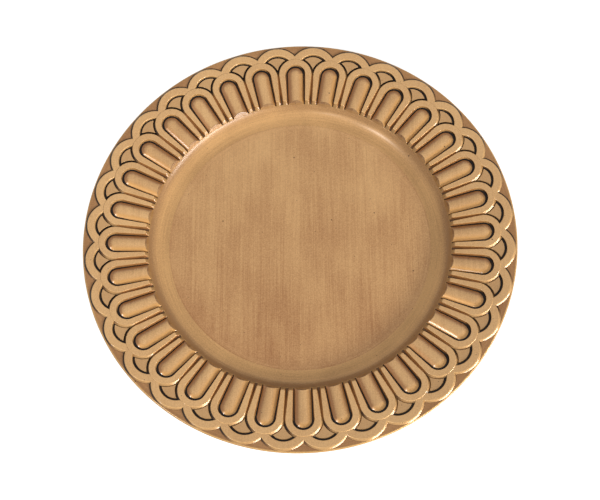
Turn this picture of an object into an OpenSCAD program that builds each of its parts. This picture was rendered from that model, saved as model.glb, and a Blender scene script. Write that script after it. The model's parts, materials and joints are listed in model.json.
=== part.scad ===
// Round charger plate with a raised border of arches and scales.
// Millimetres. The table is z = 0, the plate's axis is Z, and one arch lies on +X.

/* [Plate] */
// Diameter over the outer edge
plate_d = 330; // [326:1:336]
// Width of the rim, from the lip of the well to the outer edge
rim_w = 49; // [47:0.5:51]
// Height of the lip, where the well's wall meets the rim, above the floor
well_depth = 7.5; // [6.5:0.1:8.5]
// Slope of the well's wall at the lip, from the level
wall_lean = 53; // [50:1:58]
// Slope of the rim, from the level
rim_slope = 10.2; // [9:0.1:11]
// Thickness of the shell
wall_t = 2.2; // [1.8:0.1:2.8]

/* [Foot] */
// Distance from the edge of the well's floor in to the middle of the foot ring
foot_inset = 9; // [4:0.5:16]
// Width of the foot ring where it stands on the table
foot_w = 3; // [2:0.1:5]
// Height of the foot ring
foot_h = 2.6; // [1.6:0.1:4]
// Draft of the foot ring's two sides
foot_draft = 8; // [2:1:12]

/* [Arches] */
// Distance from arch to arch along the circle of their tops, which sets their number
arch_spacing = 30; // [29:0.1:31]
// Distance from the plate's outer edge to the top of an arch
arch_inset = 12.1; // [11.5:0.1:13]
// Width of an arch's band round the bend
arch_band_w = 4.6; // [4:0.1:5.2]
// Gap between two arches where they are widest
arch_gap = 2; // [1.8:0.1:2.6]
// Width of an arch's leg at the lip
leg_end_w = 2.6; // [2:0.1:3]
// Gap between two arches at the lip
leg_gap = 3.15; // [2.8:0.05:3.6]
// Height of an arch above the rim at its top
arch_h = 1.5; // [1.3:0.1:1.8]
// Height of an arch's legs above the rim at the lip
leg_h = 2.6; // [2.2:0.1:3]
// Draft of the walls of the arches and scales
band_draft = 25; // [15:1:26]

/* [Tongues] */
// Gap between a tongue's flank and the arch round it
tongue_gap = 2.1; // [1.8:0.1:2.4]
// Radius of a tongue's crown
tongue_crown_r = 12; // [10.5:0.5:14]
// Depth of a tongue's crown below the top of its arch
tongue_drop = 0.35; // [0.2:0.05:0.6]
// Length of a tongue beyond its arch's centre before its end rounds down
tongue_dome_out = 2; // [1:0.1:3]
// Draft of a tongue's flanks
tongue_draft = 10; // [5:1:15]

/* [Scales] */
// Distance from the plate's outer edge to the top of a scale
scale_inset = 2.1; // [2:0.1:3]
// Width of a scale's band
scale_band_w = 6; // [5:0.1:6.5]
// Reach of a scale past the middle of the arch beside it
scale_lap = 4.7; // [4.4:0.1:5.2]
// Height of the scales above the rim
scale_h = 1.35; // [1.2:0.05:1.4]

/* [Fans] */
// Gap between a fan and the bands round it
fan_gap = 1.5; // [1.2:0.1:2]
// Height of the fans above the rim
fan_h = 0.75; // [0.5:0.05:1]
// Draft of a fan's walls
fan_draft = 20; // [10:1:25]

/* [Hidden] */
$fn = 144;

// Overrun of a cut or a blank past the piece that it meets
overrun = 1;
// Step that keeps a flat flank just inside the round end that it runs out of
flank_step = 0.03;
// The shell's section
plate_r = plate_d / 2;
lip_r = plate_r - rim_w;
bend_r = well_depth / (1 - cos(wall_lean));
floor_r = lip_r - bend_r * sin(wall_lean);
foot_r = floor_r - foot_inset;
floor_z = foot_h + wall_t;
lip_z = floor_z + well_depth;
rim_t = wall_t / cos(rim_slope);
edge_r = rim_t / 2;
rim_end_r = plate_r - edge_r;
bend_z = floor_z + bend_r;
lip_under_z = bend_z - sqrt(pow(bend_r + wall_t, 2) - pow(lip_r - floor_r, 2));

// The point under the lip where the rim's underside meets the wall's
mitre_share = wall_t / (1 + cos(wall_lean - rim_slope));
mitre_r = lip_r + mitre_share * (sin(wall_lean) + sin(rim_slope));
mitre_z = lip_z - mitre_share * (cos(wall_lean) + cos(rim_slope));

// The arches' layout
arch_top_r = plate_r - arch_inset;
arch_count = round(2 * PI * arch_top_r / arch_spacing);
pitch = 360 / arch_count;
half_pitch = pitch / 2;
arch_rise = (arch_top_r - lip_r) * tan(rim_slope) + arch_h - leg_h;
arch_tilt = atan(arch_rise / (arch_top_r - lip_r));
arch_r = (arch_top_r + cos(arch_tilt) * arch_gap / 2) / (1 + cos(arch_tilt) * sin(half_pitch));
arch_z = lip_z + leg_h + (arch_r - lip_r) * tan(arch_tilt);
arch_out_r = arch_r * sin(half_pitch) - arch_gap / 2;
arch_in_r = arch_out_r - arch_band_w;
leg_len = (arch_r - lip_r) / cos(arch_tilt);
leg_out_y = lip_r * tan(half_pitch) - leg_gap / 2;
leg_in_y = leg_out_y - leg_end_w;
relief_depth = leg_h + overrun;

// The tongues' layout
tongue_r = arch_in_r - tongue_gap;
tongue_y = leg_in_y - tongue_gap;

// The scales' layout, each centred between two arches
scale_top_r = plate_r - scale_inset;
scale_r = (scale_top_r - cos(rim_slope) * scale_lap) / (1 + cos(rim_slope) * sin(half_pitch));
scale_out_r = scale_r * sin(half_pitch) + scale_lap;
scale_in_r = scale_out_r - scale_band_w;
fan_r = scale_in_r - fan_gap;

// Height of the rim's upper face at a distance from the axis
function rim_z(r) = lip_z + (r - lip_r) * tan(rim_slope);

// Lean of a flank that runs from the point (x, y) to touch a circle of radius r about the origin
function flank_lean(x, y, r) = atan2(x, y) - acos(r / norm([x, y]));

// Widening of a drafted wall over a depth
function spread(depth, draft) = depth * tan(draft);

module each_arch() {
    for (k = [0 : arch_count - 1]) rotate([0, 0, k * pitch]) children();
}

module each_scale() {
    for (k = [0 : arch_count - 1]) rotate([0, 0, (k + 0.5) * pitch]) children();
}

// Puts its children on the plane of the arch's top, with the bend's centre at the origin
module at_arch() {
    translate([arch_r, 0, arch_z]) rotate([0, -arch_tilt, 0]) children();
}

// Puts its children on a plane along the rim at a height above it, centred where a scale is
module at_scale(height) {
    translate([scale_r, 0, rim_z(scale_r) + height]) rotate([0, -rim_slope, 0]) children();
}

// The space that the raised pattern may fill: over the rim, and outside the wall's line carried up
module relief_zone() {
    top_z = rim_z(plate_r) + relief_depth;
    rotate_extrude() polygon([
        [lip_r, lip_z],
        [plate_r, rim_z(plate_r)],
        [plate_r, top_z],
        [lip_r + (top_z - lip_z) / tan(wall_lean), top_z]
    ]);
}

// Half space beside a leg, whose face leans in by lean and out downwards by draft
module flank(distance, lean, draft) {
    length = leg_len + arch_out_r;
    rotate([0, 0, lean])
        translate([0, distance, 0])
            rotate([draft, 0, 0])
                translate([-length, -2 * length, -length])
                    cube([2 * length, 2 * length, 2 * length]);
}

// Round blank with drafted walls and the radius r at z = 0, wider below where the draft is positive
module drafted_disc(r, draft, above) {
    translate([0, 0, -relief_depth]) cylinder(
        h = relief_depth + above,
        r1 = r + spread(relief_depth, draft),
        r2 = r - spread(above, draft)
    );
}

// Form of an arch, its opening or its tongue: a round end about the origin and two flanks inwards
module horseshoe(end_r, flank_out, draft, above) {
    lean = flank_lean(leg_len, flank_out, end_r);
    length = leg_len + relief_depth + overrun;
    drafted_disc(end_r, draft, above);
    intersection() {
        translate([-length, -2 * end_r, -relief_depth])
            cube([length, 4 * end_r, relief_depth + above]);
        flank(end_r - flank_step, lean, draft);
        mirror([0, 1, 0]) flank(end_r - flank_step, lean, draft);
    }
}

module well_floor() {
    color("#c39a66") translate([0, 0, foot_h]) cylinder(h = wall_t, r = floor_r);
}

module well_wall() {
    color("#c29c5e") rotate_extrude() intersection() {
        translate([floor_r, bend_z]) difference() {
            circle(r = bend_r + wall_t);
            circle(r = bend_r);
        }
        translate([floor_r, foot_h - overrun]) square([lip_r - floor_r, bend_r]);
    }
}

module rim() {
    color("#b0875a") rotate_extrude() polygon([
        [lip_r, lip_z],
        [rim_end_r, rim_z(rim_end_r)],
        [rim_end_r, rim_z(rim_end_r) - rim_t],
        [mitre_r, mitre_z],
        [lip_r, lip_under_z]
    ]);
}

module rim_edge() {
    color("#c79b5c") rotate_extrude() intersection() {
        translate([rim_end_r, rim_z(rim_end_r) - edge_r]) circle(r = edge_r);
        translate([rim_end_r, rim_z(rim_end_r) - rim_t]) square([edge_r, rim_t]);
    }
}

module foot_ring() {
    side = spread(foot_h, foot_draft);
    color("#a9825a") rotate_extrude() translate([foot_r, 0]) polygon([
        [-foot_w / 2, 0],
        [foot_w / 2, 0],
        [foot_w / 2 + side, foot_h],
        [-foot_w / 2 - side, foot_h]
    ]);
}

// The solid form of an arch, before its opening is cut
module arch_form() {
    at_arch() horseshoe(arch_out_r, leg_out_y, band_draft, 0);
}

module arch_bands() {
    color("#d3aa70") each_arch() intersection() {
        difference() {
            arch_form();
            at_arch() horseshoe(arch_in_r, leg_in_y, -band_draft, overrun);
        }
        relief_zone();
    }
}

// A rod inwards from the origin, rounded off by a ball at its outer end
module round_ended_rod(rod_r, length) {
    sphere(r = rod_r);
    rotate([0, -90, 0]) cylinder(h = length, r = rod_r);
}

module tongues() {
    color("#c79c66") each_arch() intersection() {
        at_arch() intersection() {
            horseshoe(tongue_r, tongue_y, tongue_draft, 0);
            translate([tongue_dome_out, 0, -tongue_drop - tongue_crown_r])
                round_ended_rod(tongue_crown_r, leg_len + arch_out_r);
        }
        relief_zone();
    }
}

// What lies inside the circle of the arches' centres, where neither scales nor fans reach
module inside_pattern() {
    cylinder(h = rim_z(plate_r), r = arch_r);
}

// The scales run into each other between the arches' tops and the plate's edge, so they are one ring
module scale_ring() {
    color("#cda36b") intersection() {
        difference() {
            each_scale() at_scale(scale_h) drafted_disc(scale_out_r, band_draft, 0);
            each_scale() at_scale(scale_h) drafted_disc(scale_in_r, -band_draft, overrun);
            each_arch() arch_form();
            inside_pattern();
        }
        relief_zone();
    }
}

module fans() {
    drop = arch_h - fan_h;
    color("#c0945f") each_scale() intersection() {
        difference() {
            at_scale(fan_h) drafted_disc(fan_r, fan_draft, 0);
            for (side = [-1, 1]) rotate([0, 0, side * half_pitch]) at_arch()
                translate([0, 0, -drop]) drafted_disc(arch_out_r + fan_gap, -fan_draft, arch_h);
            inside_pattern();
        }
        relief_zone();
    }
}

well_floor();
well_wall();
rim();
rim_edge();
foot_ring();
arch_bands();
tongues();
scale_ring();
fans();
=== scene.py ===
"""Dresses the charger plate: its moulded shell, its raised border, their antique gold and the studio.

Everything is in metres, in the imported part's own frame: the table is z = 0, the plate's axis is Z, and
one arch lies on +X. The arches repeat round the rim, and the scales lie midway between them.
"""

import json
import logging
import math
import random
from collections.abc import Callable, Iterator
from contextlib import contextmanager
from dataclasses import dataclass
from enum import Enum
from itertools import pairwise

import bmesh
import bpy
from mathutils import Matrix, Vector

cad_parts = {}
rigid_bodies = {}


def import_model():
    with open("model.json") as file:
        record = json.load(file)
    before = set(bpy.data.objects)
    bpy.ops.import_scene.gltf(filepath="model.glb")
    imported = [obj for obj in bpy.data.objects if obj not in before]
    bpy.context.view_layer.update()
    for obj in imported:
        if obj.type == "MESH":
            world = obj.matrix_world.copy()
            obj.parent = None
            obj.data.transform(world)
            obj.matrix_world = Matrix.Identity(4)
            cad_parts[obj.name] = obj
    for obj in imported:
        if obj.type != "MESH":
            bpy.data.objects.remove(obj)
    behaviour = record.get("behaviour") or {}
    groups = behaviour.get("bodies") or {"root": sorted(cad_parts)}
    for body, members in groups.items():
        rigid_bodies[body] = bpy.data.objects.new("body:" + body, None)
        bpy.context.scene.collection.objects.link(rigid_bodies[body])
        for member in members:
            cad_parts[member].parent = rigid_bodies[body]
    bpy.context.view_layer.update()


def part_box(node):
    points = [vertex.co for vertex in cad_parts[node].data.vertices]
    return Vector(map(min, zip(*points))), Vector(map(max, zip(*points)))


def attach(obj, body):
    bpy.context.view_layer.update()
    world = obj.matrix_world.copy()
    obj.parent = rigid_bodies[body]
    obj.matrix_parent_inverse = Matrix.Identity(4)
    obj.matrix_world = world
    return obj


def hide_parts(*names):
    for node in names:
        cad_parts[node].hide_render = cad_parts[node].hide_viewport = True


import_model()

MM = 0.001
WELD = 0.002 * MM
SEAM_WELD = 3 * WELD
TURN_SEGMENTS = 320
DISC_SEGMENTS = 96
SOFT_ANGLE = math.radians(40)
ROUNDED_ANGLE = math.radians(35)
TONE_ATTRIBUTE = "tone"
TONE_SEED = 11
# Heading of the painted light: relief walls that face it are painted lighter and gold, walls that face
# away are painted dark as shade.
PAINTED_LIGHT_WAY = math.radians(-62)
LOG = logging.getLogger("charger")

Point = tuple[float, float]
Colour = tuple[float, float, float]


class Node(Enum):
    """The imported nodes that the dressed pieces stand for."""

    WELL_FLOOR = "well_floor"
    WELL_WALL = "well_wall"
    RIM = "rim"
    RIM_EDGE = "rim_edge"
    FOOT_RING = "foot_ring"
    ARCH_BANDS = "arch_bands"
    TONGUES = "tongues"
    SCALE_RING = "scale_ring"
    FANS = "fans"


class Slot(Enum):
    """The record's material slots."""

    FLOOR = "floor_gold"
    WALL = "wall_gold"
    GROUND = "ground_gold"
    EDGE = "edge_gold"
    UNDERSIDE = "underside_gold"
    BAND = "band_gold"
    TONGUE = "tongue_gold"
    SCALE = "scale_gold"
    FAN = "fan_gold"


def srgb(red: int, green: int, blue: int) -> Colour:
    """Turns a colour given as 0 to 255 into the linear values that shaders take."""
    return tuple(
        ((c / 255 + 0.055) / 1.055) ** 2.4 if c > 10 else c / 255 / 12.92 for c in (red, green, blue)
    )


@dataclass(frozen=True)
class PlateSection:
    """The moulding's section from the axis outwards, read from the frame's boxes where a box gives it.

    Args:
        plate_r: Radius over the outer edge.
        lip_r: Radius of the lip, where the well's wall meets the rim.
        lip_z: Height of the lip.
        floor_r: Radius of the well's flat floor.
        floor_z: Height of the well's floor.
        under_z: Height of the floor's underside.
        foot_r: Outer radius of the foot ring where it meets the floor.
        foot_w: Width of the foot ring where it stands.
        foot_draft: Draft of the foot ring's sides.
        foot_corner: Size of the foot ring's rounded corners.
        wall_lean: Slope of the well's wall at the lip.
        rim_slope: Slope of the rim.
        lip_round: Radius over which the lip is rounded off.
    """

    plate_r: float
    lip_r: float
    lip_z: float
    floor_r: float
    floor_z: float
    under_z: float
    foot_r: float
    foot_w: float = 3 * MM
    foot_draft: float = math.radians(8)
    foot_corner: float = 0.4 * MM
    wall_lean: float = math.radians(53)
    rim_slope: float = math.radians(10.2)
    lip_round: float = 1.2 * MM

    @classmethod
    def from_frame(cls) -> "PlateSection":
        """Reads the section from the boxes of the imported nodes."""
        floor_low, floor_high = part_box(Node.WELL_FLOOR.value)
        wall_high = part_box(Node.WELL_WALL.value)[1]
        return cls(
            plate_r=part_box(Node.RIM_EDGE.value)[1].x,
            lip_r=wall_high.x,
            lip_z=wall_high.z,
            floor_r=floor_high.x,
            floor_z=floor_high.z,
            under_z=floor_low.z,
            foot_r=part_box(Node.FOOT_RING.value)[1].x,
        )

    @property
    def wall_t(self) -> float:
        """Thickness of the shell."""
        return self.floor_z - self.under_z

    @property
    def bend_r(self) -> float:
        """Radius of the wall's bend, over its upper face."""
        return (self.lip_z - self.floor_z) / (1 - math.cos(self.wall_lean))

    @property
    def rim_t(self) -> float:
        """Upright thickness of the sloping rim."""
        return self.wall_t / math.cos(self.rim_slope)

    @property
    def edge_r(self) -> float:
        """Radius of the rounded outer edge."""
        return self.rim_t / 2

    @property
    def rim_end_r(self) -> float:
        """Radius at which the rim's slope runs into its rounded edge."""
        return self.plate_r - self.edge_r

    def rim_z(self, r: float) -> float:
        """Height of the rim's upper face at a distance from the axis."""
        return self.lip_z + (r - self.lip_r) * math.tan(self.rim_slope)

    def lip_arc(self, start: float, end: float, steps: int) -> list[Point]:
        """Points of the rounded lip between two slopes.

        Args:
            start: Slope of the surface at the first point.
            end: Slope of the surface at the last point.
            steps: Number of straight steps.

        Returns:
            Points as distance from the axis and height.
        """
        reach = self.lip_round * math.tan((self.wall_lean - self.rim_slope) / 2)
        across, up = math.cos(self.wall_lean), math.sin(self.wall_lean)
        centre_r = self.lip_r - reach * across + self.lip_round * up
        centre_z = self.lip_z - reach * up - self.lip_round * across
        slopes = [start + (end - start) * i / steps for i in range(steps + 1)]
        return [
            (centre_r - self.lip_round * math.sin(a), centre_z + self.lip_round * math.cos(a))
            for a in slopes
        ]

    def bend_arc(self, r: float, start: float, end: float, steps: int) -> list[Point]:
        """Points of a bend about the centre of the wall's curve, between two slopes."""
        centre_z = self.floor_z + self.bend_r
        slopes = [start + (end - start) * i / steps for i in range(steps + 1)]
        return [(self.floor_r + r * math.sin(a), centre_z - r * math.cos(a)) for a in slopes]

    @property
    def mitre(self) -> Point:
        """Point under the lip where the rim's underside meets the wall's."""
        share = self.wall_t / (1 + math.cos(self.wall_lean - self.rim_slope))
        return (
            self.lip_r + share * (math.sin(self.wall_lean) + math.sin(self.rim_slope)),
            self.lip_z - share * (math.cos(self.wall_lean) + math.cos(self.rim_slope)),
        )

    @property
    def lip_corner(self) -> Vector:
        """Point on +X where the wall's slope and the rim's meet."""
        return Vector((self.lip_r, 0, self.lip_z))

    @property
    def lip_normal(self) -> Vector:
        """Upward normal there of the wall's slope, along which the pattern's forms are cut."""
        return Vector((-math.sin(self.wall_lean), 0, math.cos(self.wall_lean)))


@dataclass(frozen=True)
class ReliefLayout:
    """Where the raised pattern lies on the rim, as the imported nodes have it.

    Args:
        plate: The section that carries the pattern.
        arch_spacing: Distance from arch to arch along the circle of their tops.
        arch_inset: Distance from the outer edge to the top of an arch.
        arch_band_w: Width of an arch's band round the bend.
        arch_gap: Gap between two arches where they are widest.
        leg_end_w: Width of a leg at the lip.
        leg_gap: Gap between two arches at the lip.
        arch_h: Height of an arch above the rim at its top.
        leg_h: Height of the legs above the rim at the lip.
        band_draft: Draft of the walls of arches and scales.
        scale_inset: Distance from the outer edge to the top of a scale.
        scale_band_w: Width of a scale's band.
        scale_lap: Reach of a scale past the middle of the arch beside it.
        scale_h: Height of the scales above the rim.
        root: Depth to which the raised forms reach down into the shell.
    """

    plate: PlateSection
    arch_spacing: float = 30 * MM
    arch_inset: float = 12.1 * MM
    arch_band_w: float = 4.6 * MM
    arch_gap: float = 2 * MM
    leg_end_w: float = 2.6 * MM
    leg_gap: float = 3.15 * MM
    arch_h: float = 1.5 * MM
    leg_h: float = 2.6 * MM
    band_draft: float = math.radians(25)
    scale_inset: float = 2.1 * MM
    scale_band_w: float = 6 * MM
    scale_lap: float = 4.7 * MM
    scale_h: float = 1.35 * MM
    root: float = 0.5 * MM

    @property
    def arch_top_r(self) -> float:
        """Distance from the axis to the top of an arch."""
        return self.plate.plate_r - self.arch_inset

    @property
    def count(self) -> int:
        """Number of arches, and of scales."""
        return round(2 * math.pi * self.arch_top_r / self.arch_spacing)

    @property
    def pitch(self) -> float:
        """Angle from arch to arch."""
        return 2 * math.pi / self.count

    @property
    def arch_tilt(self) -> float:
        """Slope of an arch's flat top."""
        run = self.arch_top_r - self.plate.lip_r
        return math.atan((run * math.tan(self.plate.rim_slope) + self.arch_h - self.leg_h) / run)

    @property
    def arch_r(self) -> float:
        """Distance from the axis to the centre of an arch's bend."""
        lean = math.cos(self.arch_tilt)
        return (self.arch_top_r + lean * self.arch_gap / 2) / (1 + lean * math.sin(self.pitch / 2))

    @property
    def arch_z(self) -> float:
        """Height of an arch's top face at the centre of its bend."""
        run = self.arch_r - self.plate.lip_r
        return self.plate.lip_z + self.leg_h + run * math.tan(self.arch_tilt)

    @property
    def arch_out_r(self) -> float:
        """Outer radius of an arch's bend."""
        return self.arch_r * math.sin(self.pitch / 2) - self.arch_gap / 2

    @property
    def arch_in_r(self) -> float:
        """Radius of an arch's opening."""
        return self.arch_out_r - self.arch_band_w

    @property
    def leg_len(self) -> float:
        """Length of a leg from the bend's centre to the lip, along its top."""
        return (self.arch_r - self.plate.lip_r) / math.cos(self.arch_tilt)

    @property
    def leg_out_y(self) -> float:
        """Distance from an arch's middle line to the outer side of a leg at the lip."""
        return self.plate.lip_r * math.tan(self.pitch / 2) - self.leg_gap / 2

    @property
    def leg_in_y(self) -> float:
        """Distance from an arch's middle line to the inner side of a leg at the lip."""
        return self.leg_out_y - self.leg_end_w

    @property
    def leg_narrowing(self) -> float:
        """Slope at which a leg's middle nears the arch's middle line towards the lip."""
        at_bend = (self.arch_in_r + self.arch_out_r) / 2
        return (at_bend - (self.leg_in_y + self.leg_out_y) / 2) / (self.arch_r - self.plate.lip_r)

    @property
    def scale_r(self) -> float:
        """Distance from the axis to the centre of a scale."""
        lean = math.cos(self.plate.rim_slope)
        top_r = self.plate.plate_r - self.scale_inset
        return (top_r - lean * self.scale_lap) / (1 + lean * math.sin(self.pitch / 2))

    @property
    def scale_out_r(self) -> float:
        """Outer radius of a scale."""
        return self.scale_r * math.sin(self.pitch / 2) + self.scale_lap

    @property
    def scale_in_r(self) -> float:
        """Radius of a scale's opening."""
        return self.scale_out_r - self.scale_band_w

    def arch_place(self) -> Matrix:
        """Place of the arch on +X: its bend's centre, with its flat top as the local XY plane."""
        seat = Matrix.Translation((self.arch_r, 0, self.arch_z))
        return seat @ Matrix.Rotation(-self.arch_tilt, 4, "Y")

    def scale_place(self, height: float) -> Matrix:
        """Place of a scale turned onto +X, on a plane at a height above the rim."""
        plate = self.plate
        seat = Matrix.Translation((self.scale_r, 0, plate.rim_z(self.scale_r) + height))
        return seat @ Matrix.Rotation(-plate.rim_slope, 4, "Y")


def spread(depth: float, draft: float) -> float:
    """Widening of a drafted wall over a depth."""
    return depth * math.tan(draft)


def direction(azimuth: float, elevation: float) -> Vector:
    """Unit vector of a direction about Z and a height above the level."""
    level = math.cos(elevation)
    return Vector((level * math.cos(azimuth), level * math.sin(azimuth), math.sin(elevation)))


def clear_selection() -> None:
    """Deselects every object, so that an operator acts on the next piece alone."""
    for item in bpy.context.view_layer.objects:
        item.select_set(False)


def pick(*pieces: bpy.types.Object) -> None:
    """Selects these pieces alone and makes the first one active."""
    clear_selection()
    for piece in pieces:
        piece.select_set(True)
    bpy.context.view_layer.objects.active = pieces[0]


def fresh(name: str) -> bpy.types.Object:
    """Names the primitive that was just added, and its mesh."""
    piece = bpy.context.object
    piece.name = name
    piece.data.name = name
    return piece


def bake_place(piece: bpy.types.Object) -> None:
    """Moves a piece's place into its mesh, so that its object sits at the origin."""
    pick(piece)
    bpy.ops.object.transform_apply(location=True, rotation=True, scale=True)


def put(piece: bpy.types.Object, place: Matrix) -> None:
    """Places a piece that was modelled at the origin, and moves the place into its mesh."""
    piece.matrix_world = place
    bake_place(piece)


@contextmanager
def editing(piece: bpy.types.Object) -> Iterator[None]:
    """Holds a piece in edit mode."""
    pick(piece)
    bpy.ops.object.mode_set(mode="EDIT")
    try:
        yield
    finally:
        bpy.ops.object.mode_set(mode="OBJECT")


def select_points(piece: bpy.types.Object, wanted: Callable[[Vector], bool]) -> None:
    """Selects, outside edit mode, the vertices whose place passes a test, and the edges between them.

    Args:
        piece: The mesh piece.
        wanted: Says of a vertex's place whether it is wanted.
    """
    mesh = piece.data
    chosen = {v.index for v in mesh.vertices if wanted(v.co)}
    for vertex in mesh.vertices:
        vertex.select = vertex.index in chosen
    for edge in mesh.edges:
        edge.select = all(v in chosen for v in edge.vertices)
    for face in mesh.polygons:
        face.select = all(v in chosen for v in face.vertices)


def select_edges(piece: bpy.types.Object, wanted: Callable[[Vector, Vector], bool]) -> None:
    """Selects, outside edit mode, the edges whose two ends pass a test."""
    mesh = piece.data
    for part in (*mesh.vertices, *mesh.polygons):
        part.select = False
    for edge in mesh.edges:
        first, second = (mesh.vertices[v] for v in edge.vertices)
        edge.select = wanted(first.co, second.co)
        if edge.select:
            first.select = second.select = True


def apply_modifier(piece: bpy.types.Object, kind: str, **settings: object) -> None:
    """Adds a modifier with these settings and applies it."""
    pick(piece)
    modifier = piece.modifiers.new(kind.title(), kind)
    for name, value in settings.items():
        setattr(modifier, name, value)
    bpy.ops.object.modifier_apply(modifier=modifier.name)


def tidy_mesh(piece: bpy.types.Object, weld: float = WELD) -> None:
    """Welds doubled vertices and points every face outwards."""
    with editing(piece):
        bpy.ops.mesh.select_all(action="SELECT")
        bpy.ops.mesh.remove_doubles(threshold=weld)
        bpy.ops.mesh.normals_make_consistent(inside=False)
    solid = bmesh.new()
    solid.from_mesh(piece.data)
    inside_out = solid.calc_volume(signed=True) < 0
    solid.free()
    if inside_out:
        with editing(piece):
            bpy.ops.mesh.select_all(action="SELECT")
            bpy.ops.mesh.flip_normals()


def soften(piece: bpy.types.Object, angle: float = SOFT_ANGLE) -> None:
    """Shades a piece smoothly, apart from edges sharper than an angle."""
    pick(piece)
    bpy.ops.object.shade_smooth_by_angle(angle=angle)


def round_edges(piece: bpy.types.Object, width: float, segments: int) -> None:
    """Rounds off every sharp edge."""
    apply_modifier(
        piece,
        "BEVEL",
        width=width,
        segments=segments,
        limit_method="ANGLE",
        angle_limit=ROUNDED_ANGLE,
        use_clamp_overlap=True,
    )


def sweep(piece: bpy.types.Object, angle: float, steps: int) -> None:
    """Sweeps a section round the motif's own centre, and leaves its last copy selected."""
    with editing(piece):
        bpy.ops.mesh.select_all(action="SELECT")
        bpy.ops.mesh.spin(steps=steps, angle=angle, center=(0, 0, 0), axis=(0, 0, -1))


def cut_away(piece: bpy.types.Object, place: Vector, normal: Vector, fill: bool = False) -> None:
    """Cuts off what lies on a plane's outer side.

    Args:
        piece: The piece to cut.
        place: A point of the plane.
        normal: The plane's outward normal.
        fill: Whether the cut is closed with a face.
    """
    with editing(piece):
        bpy.ops.mesh.select_all(action="SELECT")
        bpy.ops.mesh.bisect(plane_co=place, plane_no=normal, use_fill=fill, clear_outer=True)


def mirror_half(half: bpy.types.Object) -> None:
    """Completes a half motif across the plane that holds the axis and +X."""
    apply_modifier(half, "MIRROR", use_axis=(False, True, False), merge_threshold=WELD)
    tidy_mesh(half)


def band_section(
    name: str, inner_r: float, width: float, depth: float, inner: float, outer: float
) -> bpy.types.Object:
    """Adds a band's open section on the XZ plane, its flat top at z = 0, as an outline without a face.

    Args:
        name: Name of the piece.
        inner_r: Distance from the sweep's centre to the inner edge of the top.
        width: Width of the top.
        depth: Depth of the section.
        inner: Draft of the inner wall.
        outer: Draft of the outer wall.

    Returns:
        The outline of four edges.
    """
    middle = (inner_r + width / 2, 0, -depth / 2)
    clear_selection()
    bpy.ops.mesh.primitive_plane_add(size=width, location=middle, rotation=(math.pi / 2, 0, 0))
    section = fresh(name)
    bake_place(section)
    with editing(section):
        bpy.ops.mesh.select_all(action="SELECT")
        bpy.ops.transform.resize(value=(1, 1, depth / width), center_override=middle)
        bpy.ops.mesh.delete(type="ONLY_FACE")
    select_points(section, lambda p: p.z < -depth / 2)
    inwards, outwards = spread(depth, inner), spread(depth, outer)
    still_x = inner_r + width * inwards / (inwards + outwards)
    with editing(section):
        bpy.ops.transform.resize(
            value=(1 + (inwards + outwards) / width, 1, 1), center_override=(still_x, 0, -depth)
        )
    return section


def turned_section(name: str, section: list[Point], segments: int = TURN_SEGMENTS) -> bpy.types.Object:
    """Turns a closed section round the plate's axis by extruding and resizing one ring of edges.

    Args:
        name: Name of the piece.
        section: Corners as distance from the axis and height, in order, without repeating the first.
        segments: Number of steps round the axis.

    Returns:
        The closed ring.
    """
    clear_selection()
    start_r, start_z = section[0]
    bpy.ops.mesh.primitive_circle_add(vertices=segments, radius=start_r, location=(0, 0, start_z))
    ring = fresh(name)
    bake_place(ring)
    with editing(ring):
        bpy.ops.mesh.select_all(action="SELECT")
        for (here_r, here_z), (next_r, next_z) in pairwise([*section, section[0]]):
            bpy.ops.mesh.extrude_region_move(TRANSFORM_OT_translate={"value": (0, 0, next_z - here_z)})
            growth = next_r / here_r
            bpy.ops.transform.resize(value=(growth, growth, 1), center_override=(0, 0, 0))
    tidy_mesh(ring)
    return ring


def ring_of_copies(
    first: bpy.types.Object, name: str, count: int, offset: float, rng: random.Random
) -> bpy.types.Object:
    """Copies a motif round the axis, each copy with its own mesh and its own tone, and joins the ring.

    Args:
        first: The motif on +X. It becomes part of the ring.
        name: Name of the ring.
        count: Number of copies.
        offset: Angle of the first copy.
        rng: Source of the tones.

    Returns:
        The joined ring.
    """
    copies = []
    for k in range(count):
        copy = first.copy()
        copy.data = first.data.copy()
        bpy.context.collection.objects.link(copy)
        put(copy, Matrix.Rotation(offset + k * 2 * math.pi / count, 4, "Z"))
        tone = copy.data.attributes.new(TONE_ATTRIBUTE, "FLOAT", "POINT")
        tone.data.foreach_set("value", [rng.random()] * len(copy.data.vertices))
        copies.append(copy)
    bpy.data.objects.remove(first)
    pick(*copies)
    bpy.ops.object.join()
    return fresh(name)


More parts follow.
